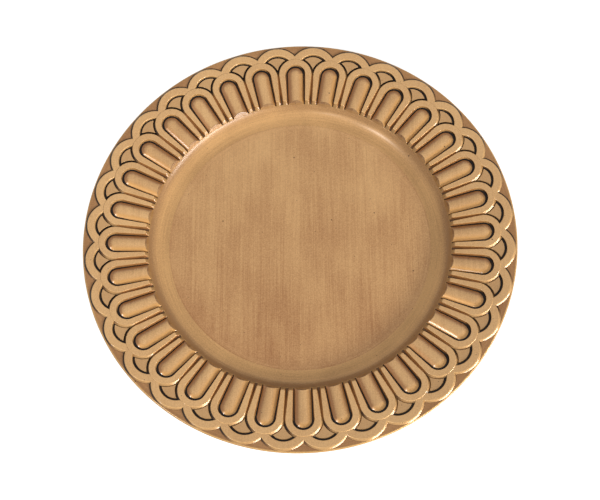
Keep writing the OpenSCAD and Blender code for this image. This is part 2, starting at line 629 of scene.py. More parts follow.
class Shell:
    """The plain parts of the moulding: floor, wall, rim, rounded edge and foot."""

    FLOOR_RINGS = (0.1, 0.3, 0.3)
    WALL_STEPS = 26
    UNDER_WALL_STEPS = 14
    LIP_STEPS = 7
    RIM_STEPS = 8
    EDGE_STEPS = 16
    CORNER_LEAN = 0.2

    def __init__(self, plate: PlateSection) -> None:
        """Takes the section that the parts share."""
        self.plate = plate

    @property
    def lip_middle(self) -> float:
        """Slope of the rounded lip where the wall's piece ends and the rim's begins."""
        return (self.plate.wall_lean + self.plate.rim_slope) / 2

    def floor(self) -> bpy.types.Object:
        """Models the flat floor as a disc with a fine ring of faces along its edge."""
        plate = self.plate
        clear_selection()
        bpy.ops.mesh.primitive_circle_add(
            vertices=TURN_SEGMENTS, radius=plate.floor_r, fill_type="NGON", location=(0, 0, plate.under_z)
        )
        floor = fresh("well_floor_disc")
        bake_place(floor)
        with editing(floor):
            bpy.ops.mesh.select_all(action="SELECT")
            bpy.ops.mesh.extrude_region_move(TRANSFORM_OT_translate={"value": (0, 0, plate.wall_t)})
            for share in self.FLOOR_RINGS:
                bpy.ops.mesh.inset(thickness=plate.floor_r * share, depth=0)
            bpy.ops.mesh.select_all(action="SELECT")
            bpy.ops.mesh.normals_make_consistent(inside=False)
        return floor

    def wall(self) -> bpy.types.Object:
        """Models the curved wall up to the middle of the rounded lip."""
        plate = self.plate
        reach = plate.lip_round * math.tan((plate.wall_lean - plate.rim_slope) / 2)
        stop = plate.wall_lean - reach / plate.bend_r
        upper = plate.bend_arc(plate.bend_r, 0, stop, self.WALL_STEPS)[:-1]
        lip = plate.lip_arc(plate.wall_lean, self.lip_middle, self.LIP_STEPS)
        under_r = plate.bend_r + plate.wall_t
        lower = plate.bend_arc(under_r, 0, plate.wall_lean, self.UNDER_WALL_STEPS)
        return turned_section("well_wall_bend", [*upper, *lip, *reversed(lower)])

    def rim(self) -> bpy.types.Object:
        """Models the sloping rim from the middle of the rounded lip to the rounded edge."""
        plate = self.plate
        lip = plate.lip_arc(self.lip_middle, plate.rim_slope, self.LIP_STEPS)
        start_r = lip[-1][0]
        step = (plate.rim_end_r - start_r) / self.RIM_STEPS
        stations = [start_r + step * i for i in range(1, self.RIM_STEPS + 1)]
        slope = [(r, plate.rim_z(r)) for r in stations]
        under_edge = (plate.rim_end_r, plate.rim_z(plate.rim_end_r) - plate.rim_t)
        under_wall = plate.bend_arc(plate.bend_r + plate.wall_t, plate.wall_lean, plate.wall_lean, 1)[0]
        return turned_section("rim_ground", [*lip, *slope, under_edge, plate.mitre, under_wall])

    def edge(self) -> bpy.types.Object:
        """Models the rounded outer edge as a half-round bead."""
        plate = self.plate
        centre_z = plate.rim_z(plate.rim_end_r) - plate.edge_r
        angles = [math.pi / 2 - math.pi * i / self.EDGE_STEPS for i in range(self.EDGE_STEPS + 1)]
        bead = [
            (plate.rim_end_r + plate.edge_r * math.cos(a), centre_z + plate.edge_r * math.sin(a))
            for a in angles
        ]
        return turned_section("rim_edge_bead", bead)

    def foot(self) -> bpy.types.Object:
        """Models the foot ring with drafted sides and slightly rounded corners."""
        plate = self.plate
        side = spread(plate.under_z, plate.foot_draft)
        out_r = plate.foot_r - side
        in_r = out_r - plate.foot_w
        corner = plate.foot_corner
        lean = corner * self.CORNER_LEAN
        return turned_section(
            "foot_ring_body",
            [
                (plate.foot_r, plate.under_z),
                (out_r + lean, corner),
                (out_r - corner, 0),
                (in_r + corner, 0),
                (in_r - lean, corner),
                (in_r - side, plate.under_z),
            ],
        )


@dataclass(frozen=True)
class ArchBand:
    """One horseshoe-shaped band: a bend and two legs that narrow towards the lip.

    Args:
        layout: Where the pattern lies.
        edge_round: Radius along the top's edges.
        outer_draft: Draft of the bend's outer wall.
        end_round: Radius at the corners of a leg's end, in plan.
        leg_draft: Draft of a leg's walls past the lip, which the bend's draft runs down to.
        bend_steps: Number of steps round half the bend.
        edge_steps: Number of steps round a rounded edge.
        corner_steps: Number of steps round a leg's corner.
    """

    layout: ReliefLayout
    edge_round: float = 0.5 * MM
    outer_draft: float = math.radians(46)
    end_round: float = 1.0 * MM
    leg_draft: float = math.radians(11)
    bend_steps: int = 18
    edge_steps: int = 3
    corner_steps: int = 4

    def model(self) -> bpy.types.Object:
        """Models the band on +X: half of it is swept and cut, mirrored, and its edges rounded."""
        layout = self.layout
        depth = layout.leg_h + layout.root
        half = band_section(
            "arch_band", layout.arch_in_r, layout.arch_band_w, depth, layout.band_draft, self.outer_draft
        )
        sweep(half, self.bend_angle, self.bend_steps)
        self.draw_leg(half, depth)
        put(half, layout.arch_place())
        self.cut_end(half)
        mirror_half(half)
        round_edges(half, self.edge_round, self.edge_steps)
        soften(half)
        return half

    @property
    def bend_angle(self) -> float:
        """Angle from the top of the bend to where the legs leave it."""
        layout = self.layout

        def leaving(bend_r: float, end_y: float) -> float:
            """Angle past square at which the line to a leg's end touches the bend."""
            reach = math.hypot(layout.leg_len, end_y)
            return math.atan2(layout.leg_len, end_y) - math.acos(bend_r / reach)

        outer = leaving(layout.arch_out_r, layout.leg_out_y)
        inner = leaving(layout.arch_in_r, layout.leg_in_y)
        return math.pi / 2 + (outer + inner) / 2

    def draw_leg(self, half: bpy.types.Object, depth: float) -> None:
        """Extrudes the end of the bend past the lip, narrowed, and closes it.

        Args:
            half: The half band, with the last section of its bend selected.
            depth: Depth of the section.
        """
        layout = self.layout
        middle = (layout.arch_out_r + layout.arch_in_r) / 2
        overrun = 2 * depth
        run = layout.leg_len + overrun
        leg_y = (layout.leg_out_y + layout.leg_in_y) / 2
        start = Vector((middle * math.cos(self.bend_angle), middle * math.sin(self.bend_angle), 0))
        slope = (start.y - leg_y) / (layout.leg_len + start.x)
        end = Vector((-run, leg_y - slope * overrun, 0))
        narrowing = (layout.arch_band_w - layout.leg_end_w) * (run + start.x) / (layout.leg_len + start.x)
        width = layout.arch_band_w - narrowing
        share = width / layout.arch_band_w
        leg_foot = width + 2 * spread(depth, self.leg_draft)
        inwards, outwards = spread(depth, layout.band_draft), spread(depth, self.outer_draft)
        foot_share = leg_foot / (layout.arch_band_w + inwards + outwards)
        foot_shift = (outwards - inwards) / 2
        with editing(half):
            bpy.ops.mesh.extrude_region_move(TRANSFORM_OT_translate={"value": end - start})
        for is_top, factor, shift in ((True, share, 0.0), (False, foot_share, foot_shift)):
            select_points(half, lambda p: p.x < -layout.leg_len and (p.z > -depth / 2) == is_top)
            with editing(half):
                bpy.ops.transform.translate(value=(0, -shift, 0))
                bpy.ops.transform.resize(value=(1, factor, 1), center_override=(end.x, end.y, 0))
        select_points(half, lambda p: p.x < -layout.leg_len)
        with editing(half):
            bpy.ops.mesh.edge_face_add()

    def cut_end(self, half: bpy.types.Object) -> None:
        """Cuts the leg along the well's wall carried upwards, and rounds the cut's corners in plan."""
        plate = self.layout.plate
        leg_y = (self.layout.leg_out_y + self.layout.leg_in_y) / 2
        turn = Matrix.Rotation(math.atan2(leg_y, plate.lip_r), 3, "Z")
        corner, normal = turn @ plate.lip_corner, turn @ plate.lip_normal
        cut_away(half, corner, normal, fill=True)

        def at_corner(first: Vector, second: Vector) -> bool:
            """Says whether an edge is one of the cut's two side edges."""
            on_cut = all(abs((p - corner).dot(normal)) < WELD for p in (first, second))
            return on_cut and abs(first.z - second.z) > self.layout.leg_h / 2

        select_edges(half, at_corner)
        with editing(half):
            bpy.ops.mesh.bevel(
                offset=self.end_round, segments=self.corner_steps, affect="EDGES", clamp_overlap=True
            )


@dataclass(frozen=True)
class Tongue:
    """One rounded boss inside an arch, crowned across and falling at its outer end.

    Args:
        layout: Where the pattern lies.
        gap: Gap between a flank and the arch round it.
        crown_r: Radius of the crown.
        shoulder_r: Radius from the crown down to the flanks.
        drop: Depth of the crown below the top of its arch.
        draft: Draft of the flanks.
        soft_angle: Angle above which an edge stays sharp.
        end_steps: Number of steps round half the outer end.
        shoulder_steps: Number of steps round the shoulder.
    """

    layout: ReliefLayout
    gap: float = 0.5 * MM
    crown_r: float = 12.5 * MM
    shoulder_r: float = 3.2 * MM
    drop: float = 0.12 * MM
    draft: float = math.radians(12)
    soft_angle: float = math.radians(30)
    end_steps: int = 16
    shoulder_steps: int = 7

    def model(self) -> bpy.types.Object:
        """Models the boss on +X: half of it is spun from its section and drawn out to the lip."""
        layout = self.layout
        end_r = layout.arch_in_r - self.gap
        half = self.section(end_r)
        sweep(half, math.pi / 2, self.end_steps)
        self.draw_out(half, end_r)
        put(half, layout.arch_place())
        cut_away(half, layout.plate.lip_corner, layout.plate.lip_normal)
        mirror_half(half)
        self.close_foot(half)
        soften(half, self.soft_angle)
        return half

    def section(self, end_r: float) -> bpy.types.Object:
        """Draws half of the section: the crown's arc, the shoulder's, and the straight flank.

        Args:
            end_r: Distance from the middle to the foot of the shoulder.

        Returns:
            The open line of edges, on the XZ plane.
        """
        depth = self.layout.leg_h + self.layout.root
        turn = math.pi / 2 - self.draft
        centre_x = end_r - self.shoulder_r * math.sin(turn)
        start_x = centre_x / (1 - self.shoulder_r / self.crown_r)
        lean = math.asin(start_x / self.crown_r)
        crown_z = -self.drop - self.crown_r
        centre_z = crown_z + (self.crown_r - self.shoulder_r) * math.cos(lean)
        clear_selection()
        bpy.ops.mesh.primitive_circle_add(
            vertices=DISC_SEGMENTS,
            radius=self.crown_r,
            location=(0, 0, crown_z),
            rotation=(math.pi / 2, 0, 0),
        )
        line = fresh("tongue")
        bake_place(line)
        for place, side in (
            ((0, 0, 0), (-1, 0, 0)),
            ((start_x, 0, 0), (1, 0, 0)),
            ((0, 0, crown_z), (0, 0, -1)),
        ):
            cut_away(line, Vector(place), Vector(side))
        select_points(line, lambda p: p.x > start_x - WELD)
        with editing(line):
            bpy.ops.mesh.spin(
                steps=self.shoulder_steps,
                angle=turn - lean,
                center=(centre_x, 0, centre_z),
                axis=(0, -1, 0),
            )
            fall = depth + centre_z + self.shoulder_r * math.cos(turn)
            bpy.ops.mesh.extrude_region_move(
                TRANSFORM_OT_translate={"value": (spread(fall, self.draft), 0, -fall)}
            )
        return line

    def draw_out(self, half: bpy.types.Object, end_r: float) -> None:
        """Extrudes the last section past the lip, narrowed to its width there."""
        layout = self.layout
        run = layout.leg_len + 2 * layout.leg_h
        lip_y = layout.leg_in_y - self.gap
        share = 1 - (1 - lip_y / end_r) * run / layout.leg_len
        with editing(half):
            bpy.ops.mesh.extrude_region_move(TRANSFORM_OT_translate={"value": (-run, 0, 0)})
            bpy.ops.transform.resize(value=(1, share, 1), center_override=(0, 0, 0))

    def close_foot(self, whole: bpy.types.Object) -> None:
        """Fills the two openings that are left: at the boss's cut end, and under it."""
        corner, normal = self.layout.plate.lip_corner, self.layout.plate.lip_normal
        select_points(whole, lambda p: abs((p - corner).dot(normal)) < WELD)
        with editing(whole):
            bpy.ops.mesh.edge_face_add()
            bpy.ops.mesh.select_all(action="DESELECT")
            bpy.ops.mesh.select_non_manifold()
            bpy.ops.mesh.edge_face_add()
        tidy_mesh(whole)


@dataclass(frozen=True)
class Scale:
    """One crescent between two arches and the border.

    Args:
        layout: Where the pattern lies.
        edge_round: Radius along the top's edges.
        outer_draft: Draft of the outer wall.
        top_inset: Distance by which the shallow outer wall narrows the top.
        reach: Angle from the top of the crescent to its end, which an arch covers.
        sweep_steps: Number of steps along that angle.
        edge_steps: Number of steps round a rounded edge.
    """

    layout: ReliefLayout
    edge_round: float = 0.5 * MM
    outer_draft: float = math.radians(42)
    top_inset: float = 0.35 * MM
    reach: float = math.radians(66)
    sweep_steps: int = 16
    edge_steps: int = 3

    def model(self) -> bpy.types.Object:
        """Models the crescent on +X: half of it is swept, cut midway to its neighbour, and mirrored."""
        layout = self.layout
        depth = layout.scale_h + layout.root
        half = band_section(
            "scale",
            layout.scale_in_r,
            layout.scale_band_w - self.top_inset,
            depth,
            layout.band_draft,
            self.outer_draft,
        )
        sweep(half, self.reach, self.sweep_steps)
        with editing(half):
            bpy.ops.mesh.edge_face_add()
        put(half, layout.scale_place(layout.scale_h))
        cut_away(half, Vector((0, 0, 0)), direction((math.pi + layout.pitch) / 2, 0))
        mirror_half(half)
        round_edges(half, self.edge_round, self.edge_steps)
        return half


@dataclass(frozen=True)
class Fan:
    """One small flat boss between a scale and its two arches.

    Args:
        layout: Where the pattern lies.
        gap: Gap between the boss and the arches beside it.
        outer_gap: Gap between the boss and the scale round it.
        height: Height above the rim.
        draft: Draft of the walls.
        edge_round: Radius along the top's edges.
        edge_steps: Number of steps round a rounded edge.
    """

    layout: ReliefLayout
    gap: float = 1.9 * MM
    outer_gap: float = 1.9 * MM
    height: float = 0.75 * MM
    draft: float = math.radians(20)
    edge_round: float = 0.3 * MM
    edge_steps: int = 2

    def model(self) -> bpy.types.Object:
        """Models the boss on +X: a drafted disc, less the room of the two arches beside it."""
        layout = self.layout
        depth = self.height + layout.root
        r = layout.scale_in_r - self.outer_gap
        boss = self.drafted_disc("fan", r, r + spread(depth, self.draft), 0, depth)
        put(boss, layout.scale_place(self.height))
        room_r = layout.arch_out_r + self.gap
        drop = layout.arch_z - layout.plate.rim_z(layout.arch_r) - self.height
        for side in (-1, 1):
            above, below = layout.arch_h, depth + layout.root
            room = self.drafted_disc(
                "arch_room",
                room_r + spread(above, self.draft),
                room_r - spread(below, self.draft),
                above,
                above + below,
            )
            beside = Matrix.Rotation(side * layout.pitch / 2, 4, "Z")
            put(room, beside @ layout.arch_place() @ Matrix.Translation((0, 0, -drop)))
            apply_modifier(boss, "BOOLEAN", operation="DIFFERENCE", solver="EXACT", object=room)
            bpy.data.objects.remove(room)
        select_points(boss, lambda p: p.x < layout.arch_r * math.cos(layout.pitch / 2))
        with editing(boss):
            bpy.ops.mesh.delete(type="VERT")
        tidy_mesh(boss)
        round_edges(boss, self.edge_round, self.edge_steps)
        soften(boss)
        return boss

    def drafted_disc(
        self, name: str, top_r: float, foot_r: float, top_z: float, depth: float
    ) -> bpy.types.Object:
        """Adds a closed disc and resizes its foot to give its wall draft."""
        clear_selection()
        bpy.ops.mesh.primitive_circle_add(
            vertices=DISC_SEGMENTS, radius=top_r, fill_type="NGON", location=(0, 0, top_z)
        )
        disc = fresh(name)
        bake_place(disc)
        growth = foot_r / top_r
        with editing(disc):
            bpy.ops.mesh.select_all(action="SELECT")
            bpy.ops.mesh.extrude_region_move(TRANSFORM_OT_translate={"value": (0, 0, -depth)})
            bpy.ops.transform.resize(value=(growth, growth, 1), center_override=(0, 0, 0))
            bpy.ops.mesh.select_all(action="SELECT")
            bpy.ops.mesh.normals_make_consistent(inside=False)
        return disc


class Sheet:
    """A node tree under construction, with short calls for the nodes that the finishes use."""

    def __init__(self, tree: bpy.types.NodeTree) -> None:
        """Takes an empty tree."""
        self.tree = tree

    def node(self, kind: str, **settings: object) -> bpy.types.Node:
        """Adds a node and sets its properties."""
        made = self.tree.nodes.new(kind)
        for name, value in settings.items():
            setattr(made, name, value)
        return made

    def feed(self, socket: bpy.types.NodeSocket, value: object) -> None:
        """Gives a socket a link, where the value is a socket, or else a plain value."""
        if isinstance(value, bpy.types.NodeSocket):
            self.tree.links.new(value, socket)
        elif socket.type == "RGBA":
            socket.default_value = (*value, 1)
        else:
            socket.default_value = value

    def math(self, operation: str, *values: object, clamp: bool = False) -> bpy.types.NodeSocket:
        """Adds a Math node and returns its value."""
        made = self.node("ShaderNodeMath", operation=operation, use_clamp=clamp)
        for socket, value in zip(made.inputs, values):
            self.feed(socket, value)
        return made.outputs[0]

    def ramp(self, value: object, low: object, high: object) -> bpy.types.NodeSocket:
        """Rises smoothly from 0 at one value to 1 at another, in either order."""
        made = self.node("ShaderNodeMapRange", interpolation_type="SMOOTHSTEP")
        for name, given in (("Value", value), ("From Min", low), ("From Max", high)):
            self.feed(made.inputs[name], given)
        return made.outputs["Result"]

    def between(self, share: object, first: object, second: object) -> bpy.types.NodeSocket:
        """Mixes two values by a share."""
        made = self.node("ShaderNodeMix", data_type="FLOAT")
        by_name = {socket.identifier: socket for socket in made.inputs}
        self.feed(by_name["Factor_Float"], share)
        self.feed(by_name["A_Float"], first)
        self.feed(by_name["B_Float"], second)
        return next(socket for socket in made.outputs if socket.identifier == "Result_Float")

    def blend(self, share: object, first: object, second: object) -> bpy.types.NodeSocket:
        """Mixes two colours by a share."""
        made = self.node("ShaderNodeMix", data_type="RGBA")
        by_name = {socket.identifier: socket for socket in made.inputs}
        self.feed(by_name["Factor_Float"], share)
        self.feed(by_name["A_Color"], first)
        self.feed(by_name["B_Color"], second)
        return next(socket for socket in made.outputs if socket.identifier == "Result_Color")

    def mapped(
        self, place: object, turn: float = 0, scale: tuple[float, float, float] = (1, 1, 1)
    ) -> bpy.types.NodeSocket:
        """Turns a place about Z and then stretches it."""
        turned_place = self.node("ShaderNodeMapping")
        turned_place.inputs["Rotation"].default_value = (0, 0, turn)
        self.feed(turned_place.inputs["Vector"], place)
        stretched = self.node("ShaderNodeMapping")
        stretched.inputs["Scale"].default_value = scale
        self.feed(stretched.inputs["Vector"], turned_place.outputs["Vector"])
        return stretched.outputs["Vector"]

    def noise(self, place: object, scale: float = 1, detail: float = 2) -> bpy.types.NodeSocket:
        """Adds a Noise Texture and returns its factor."""
        made = self.node("ShaderNodeTexNoise")
        self.feed(made.inputs["Vector"], place)
        self.feed(made.inputs["Scale"], scale)
        self.feed(made.inputs["Detail"], detail)
        return made.outputs["Fac"]

    def length(self, x: object, y: object) -> bpy.types.NodeSocket:
        """Works out the length of a level line from its two reaches."""
        return self.math("SQRT", self.math("MULTIPLY_ADD", x, x, self.math("MULTIPLY", y, y)))

    def split(self, place: object) -> tuple[bpy.types.NodeSocket, ...]:
        """Returns a place's X, Y and Z."""
        made = self.node("ShaderNodeSeparateXYZ")
        self.feed(made.inputs[0], place)
        return tuple(made.outputs)

    def join(self, x: object, y: object, z: object) -> bpy.types.NodeSocket:
        """Makes a vector of three values."""
        made = self.node("ShaderNodeCombineXYZ")
        for socket, value in zip(made.inputs, (x, y, z)):
            self.feed(socket, value)
        return made.outputs[0]


class Effect:
    """A shader node group that several finishes share."""

    FLOAT, COLOUR, VECTOR = "NodeSocketFloat", "NodeSocketColor", "NodeSocketVector"

    def __init__(self, name: str, takes: dict[str, str], gives: dict[str, str]) -> None:
        """Creates the group with its named sockets.

        Args:
            name: Name of the group.
            takes: Name and kind of each input.
            gives: Name and kind of each output.
        """
        self.tree = bpy.data.node_groups.new(name, "ShaderNodeTree")
        for in_out, sockets in (("INPUT", takes), ("OUTPUT", gives)):
            for title, kind in sockets.items():
                self.tree.interface.new_socket(name=title, in_out=in_out, socket_type=kind)
        self.sheet = Sheet(self.tree)
        self.source = self.sheet.node("NodeGroupInput").outputs
        self.sink = self.sheet.node("NodeGroupOutput").inputs

    def give(self, **values: object) -> None:
        """Links the group's outputs by name."""
        for title, value in values.items():
            self.sheet.feed(self.sink[title], value)

    def use(self, sheet: Sheet, **values: object) -> bpy.types.NodeOutputs:
        """Places the group in a material and feeds its inputs by name."""
        made = sheet.node("ShaderNodeGroup", node_tree=self.tree)
        for title, value in values.items():
            sheet.feed(made.inputs[title], value)
        return made.outputs


@dataclass(frozen=True)
class BrushMark:
    """One kind of mark that the glazing brush leaves.

    Args:
        width: Width of a mark.
        length: Length of a mark.
        detail: Octaves of finer marks within it.
        share: Share that it has in the tone.
    """

    width: float
    length: float
    detail: float
    share: float


@dataclass(frozen=True)
class Speck:
    """One size of dark speck.

    Args:
        density: Cells to the metre, each of which may hold one speck.
        size: Radius of a speck.
        bare: Share of the cells that hold none.
    """

    density: float
    size: float
    bare: float


@dataclass(frozen=True)
class Brushwork:
    """How the glaze was brushed on and wiped over the whole plate.

    Args:
        marks: The kinds of mark, from broad to fine.
        way: Direction of the straight marks.
        cloud_size: Size of the wiped clouds.
        cloud_stretch: How much finer or coarser they are along and across the marks.
        cloud_detail: Octaves of finer clouds within them.
        cloud_share: Share that they have in the tone.
        grain_size: Size of the lacquer's grain.
        grain_detail: Octaves of finer grain within it.
        specks: The sizes of dark speck.
        speck_core: Share of a speck's radius that is dark all over.
    """

    marks: tuple[BrushMark, ...] = (
        BrushMark(8 * MM, 120 * MM, 2, 0.17),
        BrushMark(1.9 * MM, 75 * MM, 2, 0.19),
        BrushMark(0.8 * MM, 50 * MM, 1, 0.2),
    )
    way: float = math.radians(89)
    cloud_size: float = 34 * MM
    cloud_stretch: tuple[float, float, float] = (0.62, 1, 1)
    cloud_detail: float = 4
    cloud_share: float = 0.44
    grain_size: float = 0.85 * MM
    grain_detail: float = 1
    specks: tuple[Speck, ...] = (Speck(34, 0.75 * MM, 0.86), Speck(70, 0.42 * MM, 0.84))
    speck_core: float = 0.35


@dataclass(frozen=True)
class GlazedSurface:
    """How brown glaze and clear lacquer lie on the gold.

    Args:
        tone_from: Tone of the brush marks at which the glaze is thinnest.
        tone_to: Tone at which it is thickest.
        grain_reach: Share of brown glaze between the grain's dark and light.
        speck_stain: Share of dark glaze in a speck.
        rough: Roughness where the glaze is thinnest.
        rough_brushed: Roughness that thick brush marks add.
        rough_glazed: Roughness that dark glaze and painted shade add.
        coat_dulled: Share of the lacquer that dark glaze and painted shade take away.
    """

    tone_from: float = 0.36
    tone_to: float = 0.64
    grain_reach: float = 0.84
    speck_stain: float = 0.85
    rough: float = 0.34
    rough_brushed: float = 0.1
    rough_glazed: float = 0.15
    coat_dulled: float = 0.2


class Effects:
    """The shared effects: the pattern's fold, the brush marks, the specks and the glazed gold."""

    LIP_FROM = 0.3 * MM
    LIP_TO = 0.05 * MM

    def __init__(self, layout: ReliefLayout) -> None:
        """Builds each group once."""
        self.layout = layout
        self.brushwork = Brushwork()
        self.surface = GlazedSurface()
        self.fold = self.build_fold()
        self.depth = self.build_depth()
        self.shell = self.build_shell()
        self.brush = self.build_brush()
        self.specks = self.build_specks()
        self.gold = self.build_gold()

    def build_fold(self) -> Effect:
        """Folds the pattern's repeats onto one another: how far out and how far across a point lies."""
        group = Effect(
            "fold_round_the_axis",
            {"Place": Effect.VECTOR, "Offset": Effect.FLOAT},
            {"Out": Effect.FLOAT, "Across": Effect.FLOAT, "Radius": Effect.FLOAT, "Turn": Effect.FLOAT},
        )
        sheet, pitch, offset = group.sheet, self.layout.pitch, group.source["Offset"]
        x, y, _ = sheet.split(group.source["Place"])
        radius = sheet.length(x, y)
        angle = sheet.math("ARCTAN2", y, x)
        steps = sheet.math("DIVIDE", sheet.math("SUBTRACT", angle, offset), pitch)
        turn = sheet.math("MULTIPLY_ADD", sheet.math("ROUND", steps), pitch, offset)
        rest = sheet.math("SUBTRACT", angle, turn)
        group.give(
            Out=sheet.math("MULTIPLY", radius, sheet.math("COSINE", rest)),
            Across=sheet.math("MULTIPLY", radius, sheet.math("SINE", rest)),
            Radius=radius,
            Turn=turn,
        )
        return group

    def build_depth(self) -> Effect:
        """Measures how deep a point lies below a motif's top plane."""
        takes = dict.fromkeys(("Out", "Plane Radius", "Plane Height", "Plane Slope"), Effect.FLOAT)
        group = Effect(
            "depth_below_the_top", {"Place": Effect.VECTOR, **takes}, {"Depth": Effect.FLOAT}
        )
        sheet, source = group.sheet, group.source
        run = sheet.math("SUBTRACT", source["Out"], source["Plane Radius"])
        top = sheet.math("MULTIPLY_ADD", run, source["Plane Slope"], source["Plane Height"])
        group.give(Depth=sheet.math("SUBTRACT", top, sheet.split(source["Place"])[2]))
        return group

    def build_shell(self) -> Effect:
        """Measures the height over the rim's ground, and how near the lip and the forms' ends are."""
        group = Effect(
            "place_on_the_shell",
            {"Place": Effect.VECTOR},
            {"Height": Effect.FLOAT, "Lip": Effect.FLOAT, "Radius": Effect.FLOAT},
        )
        sheet, plate = group.sheet, self.layout.plate
        x, y, z = sheet.split(group.source["Place"])
        radius = sheet.length(x, y)
        out = sheet.math("SUBTRACT", radius, plate.lip_r)
        rise = sheet.math("SUBTRACT", z, plate.lip_z)
        ground = sheet.math("MULTIPLY", out, math.tan(plate.rim_slope))
        beyond = sheet.math(
            "SUBTRACT",
            sheet.math("MULTIPLY", out, math.sin(plate.wall_lean)),
            sheet.math("MULTIPLY", rise, math.cos(plate.wall_lean)),
        )
        group.give(
            Height=sheet.math("SUBTRACT", rise, ground),
            Lip=sheet.ramp(beyond, self.LIP_FROM, self.LIP_TO),
            Radius=radius,
        )
        return group

    def build_brush(self) -> Effect:
        """Draws the marks of a broad brush, straight or round the axis, and the cloudy wiping."""
        group = Effect(
            "brush_marks",
            {"Place": Effect.VECTOR, "Round": Effect.FLOAT},
            {"Tone": Effect.FLOAT, "Grain": Effect.FLOAT},
        )
        sheet, place, brushwork = group.sheet, group.source["Place"], self.brushwork
        x, y, z = sheet.split(place)
        angle = sheet.math("ARCTAN2", y, x)
        radius = sheet.length(x, y)
        up_wall = sheet.math("ADD", radius, z)
        tone = 0.0
        for mark in brushwork.marks:
            stretch = (1 / mark.length, 1 / mark.width, 0)
            straight = sheet.noise(sheet.mapped(place, -brushwork.way, stretch), 1, mark.detail)
            reach = self.layout.plate.floor_r / mark.length
            bent_place = sheet.join(
                sheet.math("MULTIPLY", sheet.math("COSINE", angle), reach),
                sheet.math("MULTIPLY", sheet.math("SINE", angle), reach),
                sheet.math("DIVIDE", up_wall, mark.width),
            )
            bent = sheet.noise(bent_place, 1, mark.detail)
            drawn = sheet.between(group.source["Round"], straight, bent)
            tone = sheet.math("MULTIPLY_ADD", drawn, mark.share, tone)
        clouded = sheet.mapped(place, -brushwork.way, brushwork.cloud_stretch)
        cloud = sheet.noise(clouded, 1 / brushwork.cloud_size, brushwork.cloud_detail)
        group.give(
            Tone=sheet.math("MULTIPLY_ADD", cloud, brushwork.cloud_share, tone),
            Grain=sheet.noise(place, 1 / brushwork.grain_size, brushwork.grain_detail),
        )
        return group

    def build_specks(self) -> Effect:
        """Scatters a few small dark specks of glaze."""
        group = Effect("dark_specks", {"Place": Effect.VECTOR}, {"Speck": Effect.FLOAT})
        sheet = group.sheet
        marks = []
        for speck in self.brushwork.specks:
            cells = sheet.node("ShaderNodeTexVoronoi", voronoi_dimensions="2D")
            sheet.feed(cells.inputs["Vector"], group.source["Place"])
            sheet.feed(cells.inputs["Scale"], speck.density)
            tint = sheet.node("ShaderNodeSeparateColor")
            sheet.feed(tint.inputs[0], cells.outputs["Color"])
            reach = speck.size * speck.density
            near = sheet.ramp(cells.outputs["Distance"], reach, reach * self.brushwork.speck_core)
            held = sheet.math("GREATER_THAN", tint.outputs[0], speck.bare)
            marks.append(sheet.math("MULTIPLY", near, held))
        group.give(Speck=sheet.math("MAXIMUM", *marks))
        return group

    def build_gold(self) -> Effect:
        """Lays brown glaze over gold: thin where wiped, dark where it stayed or where shade is painted,
        none where rubbed or a highlight is painted.
        """
        values = ("Tone", "Grain", "Glaze", "Rub", "Speck", "Wash", "Shade", "Lacquer")
        colours = ("Gold", "Wiped", "Brown", "Dark")
        group = Effect(
            "glazed_gold",
            {**dict.fromkeys(values, Effect.FLOAT), **dict.fromkeys(colours, Effect.COLOUR)},
            {"Color": Effect.COLOUR, **dict.fromkeys(("Roughness", "Coat", "Height"), Effect.FLOAT)},
        )
        sheet, source, surface = group.sheet, group.source, self.surface
        thick = sheet.ramp(source["Tone"], surface.tone_from, surface.tone_to)
        reach = surface.grain_reach
        grain = sheet.math("MULTIPLY_ADD", source["Grain"], reach, -reach / 2)
        shade = sheet.math("ADD", source["Shade"], grain)
        wash = sheet.math("MULTIPLY_ADD", thick, source["Wash"], shade, clamp=True)
        colour = sheet.blend(wash, source["Wiped"], source["Brown"])
        colour = sheet.blend(source["Rub"], colour, source["Gold"])
        speck = sheet.math("MULTIPLY", source["Speck"], surface.speck_stain)
        stain = sheet.math("MAXIMUM", source["Glaze"], speck)
        rough = sheet.math("MULTIPLY_ADD", source["Glaze"], surface.rough_glazed, surface.rough)
        left = sheet.math("MULTIPLY_ADD", source["Glaze"], -surface.coat_dulled, 1.0)
        group.give(
            Color=sheet.blend(stain, colour, source["Dark"]),
            Roughness=sheet.math("MULTIPLY_ADD", thick, surface.rough_brushed, rough),
            Coat=sheet.math("MULTIPLY", source["Lacquer"], left),
            Height=sheet.math("ADD", source["Grain"], source["Tone"]),
        )
        return group


@dataclass(frozen=True)
class Masks:
    """What a form's place says of its finish.

    Args:
        glaze: Share of dark glaze that stayed in hollows, and of painted shade.
        rub_and_highlight: Share of bare gold where the finish was rubbed, and of painted highlight.
        bent: Share by which the brush marks run round the axis.
        shade: Share of brown glaze besides what the brush marks hold, and of painted shade.
    """

    glaze: object = 0.0
    rub_and_highlight: object = 0.0
    bent: object = 0.0
    shade: object = 0.0


